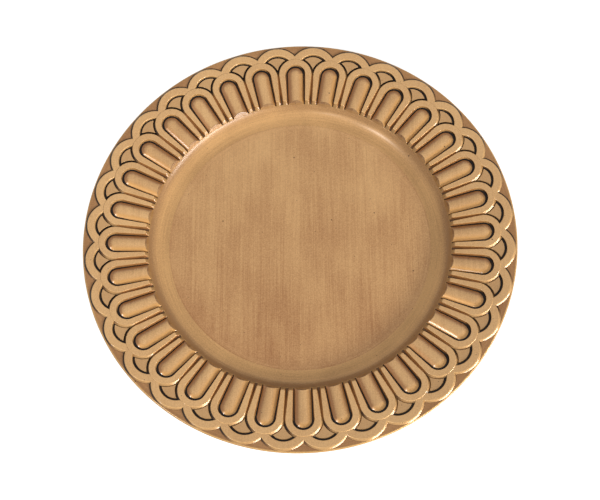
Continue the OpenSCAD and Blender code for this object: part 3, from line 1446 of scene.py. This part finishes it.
@dataclass(frozen=True)
class AntiqueGold:
    """Satin gold lacquer under a wiped brown glaze.

    Args:
        slot: The record's slot that this finish belongs to.
        gold: Colour of rubbed gold.
        wiped: Colour where the glaze was wiped thin.
        brown: Colour where more of it was left.
        dark: Colour of the glaze in recesses, and of painted shade.
        wash: Share of the brown glaze in the brush marks.
        metallic: How far the lacquer shines as metal.
        specular: Level of the lacquer's own shine.
        lacquer: Share of clear lacquer over it.
        lacquer_blur: Roughness of the clear lacquer.
        bump: Height of the brush marks.
    """

    slot: Slot
    gold: Colour = srgb(228, 180, 108)
    wiped: Colour = srgb(226, 179, 121)
    brown: Colour = srgb(164, 114, 66)
    dark: Colour = srgb(22, 11, 5)
    wash: float = 0.5
    metallic: float = 0.25
    specular: float = 0.15
    lacquer: float = 0.65
    lacquer_blur: float = 0.16
    bump: float = 0.02 * MM

    def masks(self, sheet: Sheet, effects: Effects, place: bpy.types.NodeSocket) -> Masks:
        """Says where glaze stays or shade is painted, and where gold is rubbed bare or a highlight is
        painted. A plain form has neither.
        """
        return Masks()

    def build(self, effects: Effects) -> bpy.types.Material:
        """Builds the material.

        Args:
            effects: The shared effects.

        Returns:
            The material, named for its slot.
        """
        material = bpy.data.materials.new(self.slot.value)
        material.use_nodes = True
        sheet = Sheet(material.node_tree)
        shader = material.node_tree.nodes["Principled BSDF"]
        place = sheet.node("ShaderNodeTexCoord").outputs["Object"]
        masks = self.masks(sheet, effects, place)
        brush = effects.brush.use(sheet, Place=place, Round=masks.bent)
        speck = effects.specks.use(sheet, Place=place)["Speck"]
        finish = effects.gold.use(
            sheet,
            Tone=brush["Tone"],
            Grain=brush["Grain"],
            Glaze=masks.glaze,
            Rub=masks.rub_and_highlight,
            Speck=speck,
            Wash=self.wash,
            Shade=masks.shade,
            Lacquer=self.lacquer,
            Gold=self.gold,
            Wiped=self.wiped,
            Brown=self.brown,
            Dark=self.dark,
        )
        relief = sheet.node("ShaderNodeBump")
        relief.inputs["Distance"].default_value = self.bump
        sheet.feed(relief.inputs["Height"], finish["Height"])
        for name, socket in (
            ("Base Color", finish["Color"]),
            ("Roughness", finish["Roughness"]),
            ("Coat Weight", finish["Coat"]),
            ("Normal", relief.outputs["Normal"]),
        ):
            sheet.feed(shader.inputs[name], socket)
        shader.inputs["Metallic"].default_value = self.metallic
        shader.inputs["Specular IOR Level"].default_value = self.specular
        shader.inputs["Coat Roughness"].default_value = self.lacquer_blur
        return material


@dataclass(frozen=True)
class FloorGold(AntiqueGold):
    """The floor's finish: straight brush marks, which bend round near the wall, glaze in its crease, and
    browner towards -Y.

    Args:
        crease: Width of the line of glaze along the wall.
        crease_shade: Share of brown glaze in it.
        browner_towards_minus_y: Share of brown added across the floor, rising towards -Y.
        bend_from: Share of the floor's radius at which the brush marks begin to bend round.
    """

    crease: float = 1.6 * MM
    crease_shade: float = 0.12
    browner_towards_minus_y: float = 0.4
    bend_from: float = 0.93

    def masks(self, sheet: Sheet, effects: Effects, place: bpy.types.NodeSocket) -> Masks:
        """Bends the brush marks over the outer part of the floor, and browns it towards -Y."""
        floor_r = effects.layout.plate.floor_r
        radius = effects.shell.use(sheet, Place=place)["Radius"]
        in_crease = sheet.ramp(radius, floor_r - self.crease, floor_r)
        crease = sheet.math("MULTIPLY", in_crease, self.crease_shade)
        # The floor browner towards -Y.
        side = sheet.ramp(sheet.split(place)[1], floor_r, -floor_r)
        return Masks(
            bent=sheet.ramp(radius, floor_r * self.bend_from, floor_r),
            shade=sheet.math("MULTIPLY_ADD", side, self.browner_towards_minus_y, crease),
        )


@dataclass(frozen=True)
class WallGold(AntiqueGold):
    """The wall's finish: brush marks round the axis, browner with glaze and painted shade towards the
    lip, lighter where it faces the painted light, and the lip rubbed bright.

    Args:
        lip_brown_and_shade: Share of brown glaze and painted shade under the lip.
        lip_brown_and_shade_w: Width over which it fades down the wall.
        way: Heading that the wall faces where the painted light lightens it.
        lit_facing_from: Cosine of the angle to that heading at which the painted light begins.
        lit_facing_to: Cosine at which it is full.
        lit_side_kept: Share of that brown which stays where the wall faces the painted light.
        rubbed: Share of bare gold along the lip.
    """

    lip_brown_and_shade: float = 0.95
    lip_brown_and_shade_w: float = 7.5 * MM
    way: float = math.radians(-105)
    lit_facing_from: float = -0.2
    lit_facing_to: float = 0.9
    lit_side_kept: float = 0.5
    rubbed: float = 0.12

    def masks(self, sheet: Sheet, effects: Effects, place: bpy.types.NodeSocket) -> Masks:
        """Measures the way up the wall, how near the lip is, and whether the wall faces the painted
        light.
        """
        plate = effects.layout.plate
        shell = effects.shell.use(sheet, Place=place)
        # Brown glaze and painted shade under the lip.
        under_lip = sheet.ramp(shell["Radius"], plate.lip_r - self.lip_brown_and_shade_w, plate.lip_r)
        x, y, _ = sheet.split(place)
        # Painted light: the wall keeps less of that brown where it faces `way`.
        against = sheet.math("MULTIPLY", y, -math.sin(self.way))
        against = sheet.math("MULTIPLY_ADD", x, -math.cos(self.way), against)
        facing_painted_light = sheet.math("DIVIDE", against, shell["Radius"])
        wiped = sheet.ramp(facing_painted_light, self.lit_facing_from, self.lit_facing_to)
        lip_brown_and_shade = sheet.between(wiped, self.lip_brown_and_shade, self.lip_brown_and_shade * self.lit_side_kept)
        return Masks(
            rub_and_highlight=sheet.math("MULTIPLY", shell["Lip"], self.rubbed),
            bent=1.0,
            shade=sheet.math("MULTIPLY", under_lip, lip_brown_and_shade),
        )


@dataclass(frozen=True)
class GroundGold(AntiqueGold):
    """The rim's ground: dark with glaze and painted shade among the bands, wiped brown outside the scales
    and between two legs.

    Args:
        line: Width of the dark line of glaze and painted shade along a scale's foot.
        reach: Share of a scale's foot radius up to which the ground among the bands stays dark with glaze
            and painted shade.
        groove_from: Angle from the middle between two legs at which the wiping begins.
        groove_to: Angle at which it is full.
        groove_wiped: Share of the dark glaze that it took.
        flat_up: Upward share of the surface's normal above which the glaze is full.
        plain: Share of brown glaze besides the dark one.
    """

    line: float = 0.9 * MM
    reach: float = 0.8
    groove_from: float = math.radians(1.125)
    groove_to: float = math.radians(0.525)
    groove_wiped: float = 0.3
    flat_up: float = 0.2
    plain: float = 0.3

    def masks(self, sheet: Sheet, effects: Effects, place: bpy.types.NodeSocket) -> Masks:
        """Measures how far the nearest scale's outer foot and the middle of the grooves are."""
        layout = effects.layout
        fold = effects.fold.use(sheet, Place=place, Offset=layout.pitch / 2)
        lip = effects.shell.use(sheet, Place=place)["Lip"]
        out = sheet.math("SUBTRACT", fold["Out"], layout.scale_r)
        out = sheet.math("DIVIDE", out, math.cos(layout.plate.rim_slope))
        from_centre = sheet.length(out, fold["Across"])
        foot_r = layout.scale_out_r + spread(layout.scale_h, layout.band_draft)
        # Dark glaze and painted shade along the scales' feet and among the bands.
        beyond = sheet.ramp(from_centre, foot_r + self.line, foot_r)
        inside = sheet.ramp(fold["Radius"], layout.scale_r + foot_r * self.reach, layout.scale_r)
        dark = sheet.math("MAXIMUM", beyond, inside)
        aside = sheet.math("DIVIDE", sheet.math("ABSOLUTE", fold["Across"]), fold["Out"])
        in_groove = sheet.ramp(aside, self.groove_from, self.groove_to)
        among_legs = sheet.ramp(fold["Radius"], layout.arch_r, layout.arch_r - layout.arch_in_r)
        wiped = sheet.math("MULTIPLY", in_groove, among_legs)
        left = sheet.math("MULTIPLY_ADD", wiped, -self.groove_wiped, dark, clamp=True)
        glaze = sheet.math("MULTIPLY", left, sheet.math("SUBTRACT", 1.0, lip))
        normal = sheet.node("ShaderNodeTexCoord").outputs["Normal"]
        on_top = sheet.ramp(sheet.split(normal)[2], 0.0, self.flat_up)
        return Masks(
            glaze=sheet.math("MULTIPLY", glaze, on_top), rub_and_highlight=lip, bent=1.0, shade=self.plain
        )


@dataclass(frozen=True)
class ReliefGold(AntiqueGold):
    """A raised form's finish: wiped on its top, rubbed along its edges with a painted highlight, dark
    down its walls with glaze and painted shade, lighter on the walls that face the painted light.

    Args:
        offset: Angle of the form's first copy.
        plane_r: Distance from the axis at which the top plane's height is given.
        plane_z: Height of the top plane there.
        plane_slope: Rise of the top plane outwards.
        rub_from: Depth below the plane at which the rubbed edge, with its painted highlight, begins.
        rub_to: Depth at which it is brightest.
        shade_from: Depth at which brown glaze, partly painted shade, begins.
        shade_to: Depth at which there is most of it.
        dark_from: Height above the ground at which the dark glaze in the hollow, partly painted shade,
            begins.
        dark_to: Height at which it is full.
        painted_wall_shade: Share of dark painted as shade on the walls of the outer part.
        lit_facing_from: Cosine of the angle between a wall's heading and the painted light's at which the
            wall begins to be painted lighter.
        lit_facing_to: Cosine at which it is painted lightest.
        lit_wall_shade_kept: Share of the walls' painted shade that stays where they face the painted
            light.
        lit_foot_glaze_taken: Share of the dark glaze and painted shade at the foot that is taken away
            there.
        lit_brown_taken: Share of the brown glaze and painted shade that is taken away there.
        painted_lit_gold: Share of gold painted there as light.
        opening_r: Distance from the form's own centre that parts the opening's walls from the outer ones.
        opening_slope: Narrowing of that distance along the legs.
        opening_blur: Half the width over which the two kinds of wall change over.
        outer_from: Distance from the axis at which the outer part begins.
        outer_to: Distance at which the painted shade on its walls is darkest.
        end_shade: Share of brown painted as shade on the cut ends at the lip.
        painted_end_dark: Share of dark painted as shade there.
        tone_spread: Most brown glaze that sets one copy apart from another.
    """

    offset: float = 0.0
    plane_r: float = 0.0
    plane_z: float = 0.0
    plane_slope: float = 0.0
    rub_from: float = 0.02 * MM
    rub_to: float = 0.15 * MM
    shade_from: float = 0.06 * MM
    shade_to: float = 0.28 * MM
    dark_from: float = 0.5 * MM
    dark_to: float = 0.15 * MM
    painted_wall_shade: float = 0.95
    lit_facing_from: float = 0.0
    lit_facing_to: float = 0.7
    lit_wall_shade_kept: float = 0.15
    lit_foot_glaze_taken: float = 0.8
    lit_brown_taken: float = 0.6
    painted_lit_gold: float = 0.25
    opening_r: float = 0.0
    opening_slope: float = 0.0
    opening_blur: float = 0.3 * MM
    outer_from: float = 0.0
    outer_to: float = 1 * MM
    end_shade: float = 0.5
    painted_end_dark: float = 0.4
    tone_spread: float = 0.12

    def masks(self, sheet: Sheet, effects: Effects, place: bpy.types.NodeSocket) -> Masks:
        """Works the masks out from the depth below the top and from the way that a wall faces the painted
        light.
        """
        fold = effects.fold.use(sheet, Place=place, Offset=self.offset)
        shell = effects.shell.use(sheet, Place=place)
        depth = self.depth(sheet, effects, place, fold)
        # Painted light: how far a wall faces the painted light's heading.
        wiped = self.painted_light_share(sheet, fold)
        outer = sheet.ramp(fold["Out"], self.outer_from, self.outer_to)
        lit_outer = sheet.math("MULTIPLY", wiped, outer)
        off_lip = sheet.math("SUBTRACT", 1.0, shell["Lip"])
        # Brown down the walls and the tongues' flanks by depth: glaze and painted shade.
        shade = sheet.math("MULTIPLY", sheet.ramp(depth, self.shade_from, self.shade_to), off_lip)
        # Painted highlight: gold on the walls that face the painted light.
        bare = sheet.math("MULTIPLY", sheet.math("MULTIPLY", shade, lit_outer), self.painted_lit_gold)
        # Painted shade: brown on the cut ends at the lip.
        end_shade = sheet.math("MULTIPLY_ADD", shell["Lip"], self.end_shade, shade)
        # Rubbed edges, partly wear and partly painted highlight.
        edge = sheet.math("SUBTRACT", sheet.ramp(depth, self.rub_from, self.rub_to), end_shade)
        share_left = sheet.math("MULTIPLY_ADD", lit_outer, -self.lit_brown_taken, 1.0)
        left = sheet.math("MULTIPLY", end_shade, share_left)
        tone = sheet.node("ShaderNodeAttribute", attribute_name=TONE_ATTRIBUTE).outputs["Fac"]
        # Painted shade: the outer walls dark, lighter where they face the painted light.
        painted_wall_shade = sheet.between(wiped, self.painted_wall_shade, self.painted_wall_shade * self.lit_wall_shade_kept)
        painted_wall_dark = sheet.math("MULTIPLY", sheet.math("MULTIPLY", shade, painted_wall_shade), outer)
        # Dark glaze at each wall's foot, partly patina in the hollow and partly painted shade.
        near_foot = sheet.ramp(shell["Height"], self.dark_from, self.dark_to)
        foot_left = sheet.math("MULTIPLY_ADD", wiped, -self.lit_foot_glaze_taken, 1.0)
        foot_glaze_and_shade = sheet.math("MULTIPLY", sheet.math("MULTIPLY", near_foot, off_lip), foot_left)
        # Painted shade: dark on the cut ends.
        painted_end = sheet.math("MULTIPLY", shell["Lip"], self.painted_end_dark)
        return Masks(
            glaze=sheet.math("MAXIMUM", sheet.math("MAXIMUM", foot_glaze_and_shade, painted_wall_dark), painted_end),
            rub_and_highlight=sheet.math("MAXIMUM", edge, bare),
            shade=sheet.math("MULTIPLY_ADD", tone, self.tone_spread, left),
        )

    def depth(
        self,
        sheet: Sheet,
        effects: Effects,
        place: bpy.types.NodeSocket,
        fold: bpy.types.NodeOutputs,
    ) -> bpy.types.NodeSocket:
        """Measures the depth below this form's top plane."""
        values = {
            "Place": place,
            "Out": fold["Out"],
            "Plane Radius": self.plane_r,
            "Plane Height": self.plane_z,
            "Plane Slope": self.plane_slope,
        }
        return effects.depth.use(sheet, **values)["Depth"]

    def painted_light_share(self, sheet: Sheet, fold: bpy.types.NodeOutputs) -> bpy.types.NodeSocket:
        """Says how far a wall faces the way of the painted light, an opening's walls being turned
        inwards.

        Args:
            sheet: The material's nodes.
            fold: The outputs of the pattern's fold.

        Returns:
            The share, from 0 to 1.
        """
        run = sheet.math("SUBTRACT", fold["Out"], self.plane_r)
        past = sheet.math("MAXIMUM", run, 0.0)
        along_leg = sheet.math("MINIMUM", run, 0.0)
        parting = sheet.math("MULTIPLY_ADD", along_leg, self.opening_slope, self.opening_r)
        from_parting = sheet.math("SUBTRACT", sheet.length(past, fold["Across"]), parting)
        outwards = sheet.ramp(from_parting, -self.opening_blur, self.opening_blur)
        heading = sheet.math("ADD", sheet.math("ARCTAN2", fold["Across"], past), fold["Turn"])
        facing_painted_light = sheet.math("COSINE", sheet.math("SUBTRACT", heading, PAINTED_LIGHT_WAY))
        facing_painted_light = sheet.math("MULTIPLY", facing_painted_light, sheet.between(outwards, -1.0, 1.0))
        return sheet.ramp(facing_painted_light, self.lit_facing_from, self.lit_facing_to)


@dataclass(frozen=True)
class Viewpoint:
    """Where the camera stands, worked out from the plate's outline and its repeat in the photograph.

    Args:
        azimuth: Direction from the aim to the camera, about Z.
        elevation: Height of that direction above the level.
        roll: Turn of the camera about its own line of sight.
        distance: Distance from the aim.
        aim: Point that the middle of the picture shows.
        lens: Focal length in millimetres.
        nearest: Distance from which the camera sees.
        farthest: Distance up to which it sees.
    """

    azimuth: float = math.radians(-86.6)
    elevation: float = math.radians(69.607)
    roll: float = math.radians(-4.973)
    distance: float = 0.81864
    aim: tuple[float, float, float] = (0.00053, -0.01151, 0.0199)
    lens: float = 64.93
    nearest: float = 0.01
    farthest: float = 20

    def build(self) -> None:
        """Creates the camera and makes it the scene's own."""
        back = direction(self.azimuth, self.elevation)
        side = direction(self.azimuth + math.pi / 2, 0)
        above = back.cross(side)
        right = side * math.cos(self.roll) + above * math.sin(self.roll)
        up = above * math.cos(self.roll) - side * math.sin(self.roll)
        camera = bpy.data.objects.new("camera", bpy.data.cameras.new("camera"))
        camera.data.lens = self.lens
        camera.data.clip_start = self.nearest
        camera.data.clip_end = self.farthest
        bpy.context.collection.objects.link(camera)
        turn = Matrix((right, up, back)).transposed().to_4x4()
        camera.matrix_world = Matrix.Translation(Vector(self.aim) + back * self.distance) @ turn
        bpy.context.scene.camera = camera


@dataclass(frozen=True)
class SoftLamp:
    """One oblong area lamp that looks at the plate.

    Args:
        name: Name of the lamp.
        azimuth: Direction of the lamp about Z.
        elevation: Height of that direction above the level.
        distance: Distance from the plate's middle.
        width: Level side of the lamp.
        height: Other side of the lamp.
        power: Power in watts.
    """

    name: str
    azimuth: float
    elevation: float
    distance: float
    width: float
    height: float
    power: float

    def build(self) -> None:
        """Creates the lamp."""
        data = bpy.data.lights.new(self.name, "AREA")
        data.shape = "RECTANGLE"
        data.size = self.width
        data.size_y = self.height
        data.energy = self.power
        place = direction(self.azimuth, self.elevation)
        lamp = bpy.data.objects.new(self.name, data)
        lamp.location = place * self.distance
        lamp.rotation_euler = (-place).to_track_quat("-Z", "Y").to_euler()
        bpy.context.collection.objects.link(lamp)


class Studio:
    """The pale floor, the soft lamps and the world round the plate."""

    FLOOR_SIDE = 8.0
    PAPER = (0.8, 0.8, 0.8)
    WHITE = (1.0, 1.0, 1.0)
    CAMERA_LIFT = 0.75
    AMBIENT = 0.32
    LAMPS = (
        SoftLamp("lamp_key", math.radians(-40), math.radians(18), 1.6, 1.5, 0.28, 29.0),
        SoftLamp("lamp_streak", math.radians(-148), math.radians(52), 1.6, 0.22, 0.22, 6.0),
        SoftLamp("lamp_glint", math.radians(-114), math.radians(50), 1.6, 0.14, 0.14, 1.5),
    )

    def build(self) -> None:
        """Builds the floor, the lamps and the world."""
        self.floor()
        for lamp in self.LAMPS:
            lamp.build()
        self.world()

    def floor(self) -> None:
        """Lays the floor under the foot ring: white with its shadows, and clear from below."""
        clear_selection()
        bpy.ops.mesh.primitive_plane_add(size=self.FLOOR_SIDE, location=(0, 0, 0))
        floor = fresh("studio_floor")
        material = bpy.data.materials.new("studio_floor_paper")
        material.use_nodes = True
        sheet = Sheet(material.node_tree)
        sheet.tree.nodes.clear()
        rays = sheet.node("ShaderNodeLightPath").outputs
        paper = sheet.node("ShaderNodeBsdfDiffuse")
        sheet.feed(paper.inputs["Color"], self.PAPER)
        lift = sheet.node("ShaderNodeEmission")
        lift.inputs["Strength"].default_value = self.CAMERA_LIFT
        white = sheet.node("ShaderNodeEmission")
        lifted = sheet.node("ShaderNodeAddShader")
        sheet.feed(lifted.inputs[0], paper.outputs[0])
        sheet.feed(lifted.inputs[1], lift.outputs[0])
        by_camera = self.either(sheet, rays["Is Camera Ray"], paper.outputs[0], lifted.outputs[0])
        mirrored = sheet.math("MAXIMUM", rays["Is Glossy Ray"], rays["Is Transmission Ray"])
        shown = self.either(sheet, mirrored, by_camera, white.outputs[0])
        from_below = sheet.node("ShaderNodeNewGeometry").outputs["Backfacing"]
        clear = sheet.node("ShaderNodeBsdfTransparent")
        shown = self.either(sheet, from_below, shown, clear.outputs[0])
        sheet.feed(sheet.node("ShaderNodeOutputMaterial").inputs["Surface"], shown)
        floor.data.materials.append(material)

    def world(self) -> None:
        """Makes the world white where it is seen, and plain soft light elsewhere."""
        world = bpy.data.worlds.new("studio_world")
        world.use_nodes = True
        bpy.context.scene.world = world
        sheet = Sheet(world.node_tree)
        sheet.tree.nodes.clear()
        rays = sheet.node("ShaderNodeLightPath").outputs
        soft = sheet.node("ShaderNodeBackground")
        soft.inputs["Strength"].default_value = self.AMBIENT
        white = sheet.node("ShaderNodeBackground")
        sheet.feed(white.inputs["Color"], self.WHITE)
        seen = sheet.math("MAXIMUM", rays["Is Camera Ray"], rays["Is Glossy Ray"])
        seen = sheet.math("MAXIMUM", seen, rays["Is Transmission Ray"])
        shown = self.either(sheet, seen, soft.outputs[0], white.outputs[0])
        sheet.feed(sheet.node("ShaderNodeOutputWorld").inputs["Surface"], shown)

    def either(
        self,
        sheet: Sheet,
        share: bpy.types.NodeSocket,
        first: bpy.types.NodeSocket,
        second: bpy.types.NodeSocket,
    ) -> bpy.types.NodeSocket:
        """Mixes two shaders by a share."""
        mixed = sheet.node("ShaderNodeMixShader")
        for socket, value in zip(mixed.inputs, (share, first, second)):
            sheet.feed(socket, value)
        return mixed.outputs[0]


class Wardrobe:
    """The finish of every slot."""

    # Half the width over which the arches' outer walls change to their painted shade and painted light
    # round the bend.
    BEND_FADE = 3 * MM

    def __init__(self, layout: ReliefLayout) -> None:
        """Builds the effects once, and each finish from them."""
        self.layout = layout
        effects = Effects(layout)
        finishes = (*self.shell_finishes(), *self.arch_finishes(), *self.border_finishes())
        self.materials = {finish.slot: finish.build(effects) for finish in finishes}

    def shell_finishes(self) -> tuple[AntiqueGold, ...]:
        """Finishes of the floor, the wall, the rim, its edge and the foot."""
        return (
            FloorGold(Slot.FLOOR, wiped=srgb(222, 174, 117), brown=srgb(164, 112, 68), lacquer=0.5),
            WallGold(
                Slot.WALL,
                wiped=srgb(213, 164, 108),
                brown=srgb(143, 103, 66),
                metallic=0.12,
                lacquer=0.4,
                lacquer_blur=0.22,
            ),
            GroundGold(Slot.GROUND, wiped=srgb(198, 148, 98), brown=srgb(150, 106, 68), lacquer=0.2),
            AntiqueGold(Slot.EDGE, wiped=srgb(212, 166, 100), brown=srgb(170, 124, 74)),
            AntiqueGold(Slot.UNDERSIDE, wiped=srgb(190, 148, 96)),
        )

    def arch_finishes(self) -> tuple[AntiqueGold, ...]:
        """Finishes of the arches and of the tongues inside them."""
        layout = self.layout
        on_arch = {
            "offset": 0.0,
            "plane_r": layout.arch_r,
            "plane_z": layout.arch_z,
            "plane_slope": math.tan(layout.arch_tilt),
        }
        return (
            ReliefGold(
                Slot.BAND,
                **on_arch,
                wash=0.2,
                opening_r=(layout.arch_in_r + layout.arch_out_r) / 2,
                opening_slope=layout.leg_narrowing,
                outer_from=layout.arch_r - self.BEND_FADE,
                outer_to=layout.arch_r + self.BEND_FADE,
            ),
            # Tongue flanks: brown by depth as painted shade, and gold painted as light where they face
            # the painted light's heading.
            ReliefGold(
                Slot.TONGUE,
                **on_arch,
                wash=0.35,
                gold=srgb(214, 158, 86),
                painted_lit_gold=0.8,
                rub_from=0.9 * MM,
                rub_to=1.7 * MM,
                shade_from=0.15 * MM,
                shade_to=1.25 * MM,
                dark_from=0.25 * MM,
                dark_to=0.05 * MM,
                painted_wall_shade=0.0,
            ),
        )

    def border_finishes(self) -> tuple[AntiqueGold, ...]:
        """Finishes of the scales and of the fans inside them."""
        layout = self.layout
        rim_z = layout.plate.rim_z(layout.scale_r)
        on_scale = {
            "offset": layout.pitch / 2,
            "plane_r": layout.scale_r,
            "plane_slope": math.tan(layout.plate.rim_slope),
        }
        return (
            ReliefGold(
                Slot.SCALE,
                **on_scale,
                plane_z=rim_z + layout.scale_h,
                wash=0.2,
                opening_r=(layout.scale_in_r + layout.scale_out_r) / 2,
            ),
            ReliefGold(
                Slot.FAN,
                **on_scale,
                plane_z=rim_z + Fan.height,
                wash=0.2,
                wiped=srgb(206, 161, 107),
                dark_from=0.5 * MM,
                dark_to=0.3 * MM,
            ),
        )

    def dress(self, piece: bpy.types.Object, node: Node, slot: Slot) -> None:
        """Gives a piece its finish, and tells the frame what it stands for.

        Args:
            piece: The finished mesh.
            node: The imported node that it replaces.
            slot: The slot of its finish.
        """
        piece.data.materials.clear()
        piece.data.materials.append(self.materials[slot])
        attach(piece, "root")
        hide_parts(node.value)
        LOG.info("%s: %d faces, stands for %s", piece.name, len(piece.data.polygons), node.value)


def main() -> None:
    """Builds the pieces in order, dresses them, and sets the camera and the studio."""
    logging.basicConfig(level=logging.INFO, format="%(name)s: %(message)s")
    Viewpoint().build()
    plate = PlateSection.from_frame()
    layout = ReliefLayout(plate)
    wardrobe = Wardrobe(layout)
    rng = random.Random(TONE_SEED)
    shell = Shell(plate)
    for piece, node, slot in (
        (shell.floor(), Node.WELL_FLOOR, Slot.FLOOR),
        (shell.wall(), Node.WELL_WALL, Slot.WALL),
        (shell.rim(), Node.RIM, Slot.GROUND),
        (shell.edge(), Node.RIM_EDGE, Slot.EDGE),
        (shell.foot(), Node.FOOT_RING, Slot.UNDERSIDE),
    ):
        soften(piece)
        wardrobe.dress(piece, node, slot)
    half = layout.pitch / 2
    for motif, name, node, slot, offset in (
        (ArchBand(layout), "arch_band_ring", Node.ARCH_BANDS, Slot.BAND, 0.0),
        (Tongue(layout), "tongue_ring", Node.TONGUES, Slot.TONGUE, 0.0),
        (Scale(layout), "scale_ring_chain", Node.SCALE_RING, Slot.SCALE, half),
        (Fan(layout), "fan_ring", Node.FANS, Slot.FAN, half),
    ):
        ring = ring_of_copies(motif.model(), name, layout.count, offset, rng)
        if node is Node.SCALE_RING:
            tidy_mesh(ring, SEAM_WELD)
            soften(ring)
        apply_modifier(ring, "WEIGHTED_NORMAL", keep_sharp=True)
        wardrobe.dress(ring, node, slot)
    Studio().build()
    bpy.context.scene.view_settings.view_transform = "Standard"


if __name__ == "__main__":
    main()
